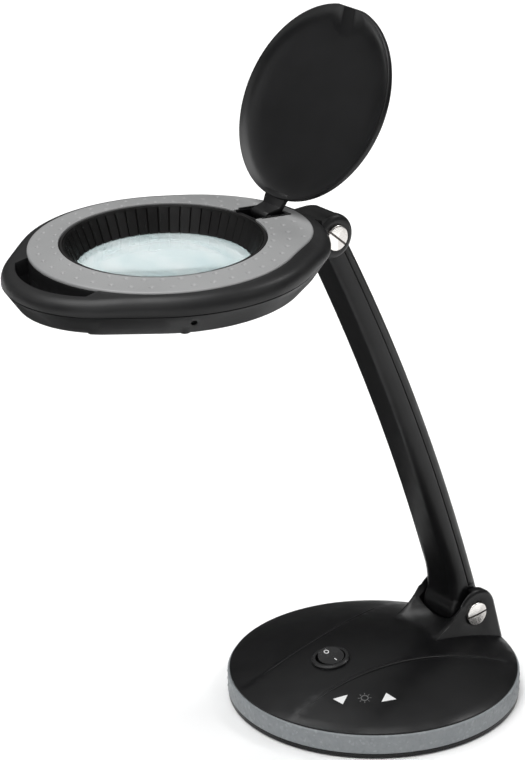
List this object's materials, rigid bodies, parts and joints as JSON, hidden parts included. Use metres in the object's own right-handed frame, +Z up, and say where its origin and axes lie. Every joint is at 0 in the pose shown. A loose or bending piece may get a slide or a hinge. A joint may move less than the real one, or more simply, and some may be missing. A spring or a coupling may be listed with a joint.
{
  "type": "magnifying lamp",
  "caption": "Desk magnifying lamp: weighted round base with rocker and touch marks, curved hinged arm, tilting round lens head with a light ring, finger slot and swinging lens lid.",
  "frame": {"origin": "on the table under the middle of the round base", "axes": "+Z up; -Y towards the user, so the head reaches over -Y and the arm stands at +Y; hinge axes along X with the slotted screw heads at +X"},
  "size_m": [0.178, 0.3338, 0.4325],
  "materials": {
    "base_top_cover": "satin black, fine moulded texture",
    "base_trim_band": "grey with fine speckle",
    "base_bottom_cover": "satin black",
    "base_screws": "zinc plated",
    "non_slip_ring": "matte",
    "ballast_plate": "rough cast",
    "dim_mark": "printed light grey",
    "bright_mark": "printed light grey",
    "sun_mark": "printed light grey",
    "touch_board": "green circuit board",
    "driver_board": "green circuit board",
    "driver_components": "moulded components",
    "dc_socket": "moulded",
    "switch_housing": "gloss black",
    "switch_terminals": "tinned",
    "base_hinge_screw": "polished",
    "base_hinge_nut": "zinc plated",
    "switch_rocker": "gloss black",
    "rocker_marks": "printed white",
    "arm_front_shell": "satin black",
    "arm_rear_cover": "satin black",
    "arm_screws": "black oxide",
    "arm_cable": "matte",
    "lower_hinge_bush": "sintered",
    "upper_hinge_bush": "sintered",
    "lower_hinge_washers": "friction material",
    "upper_hinge_washers": "friction material",
    "head_upper_shell": "satin black",
    "head_lower_shell": "satin black",
    "head_screws": "zinc plated",
    "top_trim_ring": "grey with moulded dimples",
    "lens_funnel": "matte black with moulded ribs",
    "lens": "polished, faint blue-green",
    "lens_retainer": "black",
    "led_board": "white solder mask",
    "led_chips": "phosphor",
    "diffuser_ring": "frosted white",
    "lid_hinge_bracket": "satin black",
    "lid_hinge_pin": "polished",
    "head_hinge_screw": "polished",
    "head_hinge_insert": "knurled",
    "lid_cover": "black"
  },
  "bodies": {
    "base": {"base_top_cover": "base_top_cover", "base_trim_band": "base_trim_band", "base_bottom_cover": "base_bottom_cover", "base_screws": "base_screws", "non_slip_ring": "non_slip_ring", "ballast_plate": "ballast_plate", "dim_mark": "dim_mark", "bright_mark": "bright_mark", "sun_mark": "sun_mark", "touch_board": "touch_board", "driver_board": "driver_board", "driver_components": "driver_components", "dc_socket": "dc_socket", "switch_housing": "switch_housing", "switch_terminals": "switch_terminals", "base_hinge_screw": "base_hinge_screw", "base_hinge_nut": "base_hinge_nut"},
    "rocker": {"switch_rocker": "switch_rocker", "rocker_marks": "rocker_marks"},
    "arm": {"arm_front_shell": "arm_front_shell", "arm_rear_cover": "arm_rear_cover", "arm_screws": "arm_screws", "arm_cable": "arm_cable", "lower_hinge_bush": "lower_hinge_bush", "upper_hinge_bush": "upper_hinge_bush", "lower_hinge_washers": "lower_hinge_washers", "upper_hinge_washers": "upper_hinge_washers"},
    "head": {"head_upper_shell": "head_upper_shell", "head_lower_shell": "head_lower_shell", "head_screws": "head_screws", "top_trim_ring": "top_trim_ring", "lens_funnel": "lens_funnel", "lens": "lens", "lens_retainer": "lens_retainer", "led_board": "led_board", "led_chips": "led_chips", "diffuser_ring": "diffuser_ring", "lid_hinge_bracket": "lid_hinge_bracket", "lid_hinge_pin": "lid_hinge_pin", "head_hinge_screw": "head_hinge_screw", "head_hinge_insert": "head_hinge_insert"},
    "lid": {"lid_cover": "lid_cover"}
  },
  "joints": [
    {"name": "switch_rock", "type": "hinge", "parent": "base", "child": "rocker", "pos_m": [0, -0.03336, 0.03026], "axis": [0, -0.9896, -0.1438], "range_deg": [0, 22]},
    {"name": "base_hinge", "type": "hinge", "parent": "base", "child": "arm", "pos_m": [0, 0.0642, 0.0386], "axis": [1, 0, 0], "range_deg": [-25, 20]},
    {"name": "head_hinge", "type": "hinge", "parent": "arm", "child": "head", "pos_m": [0, -0.0454, 0.3085], "axis": [1, 0, 0], "range_deg": [-40, 30]},
    {"name": "lid_hinge", "type": "hinge", "parent": "head", "child": "lid", "pos_m": [0, -0.08141, 0.32484], "axis": [1, 0, 0], "range_deg": [0, 120]}
  ]
}
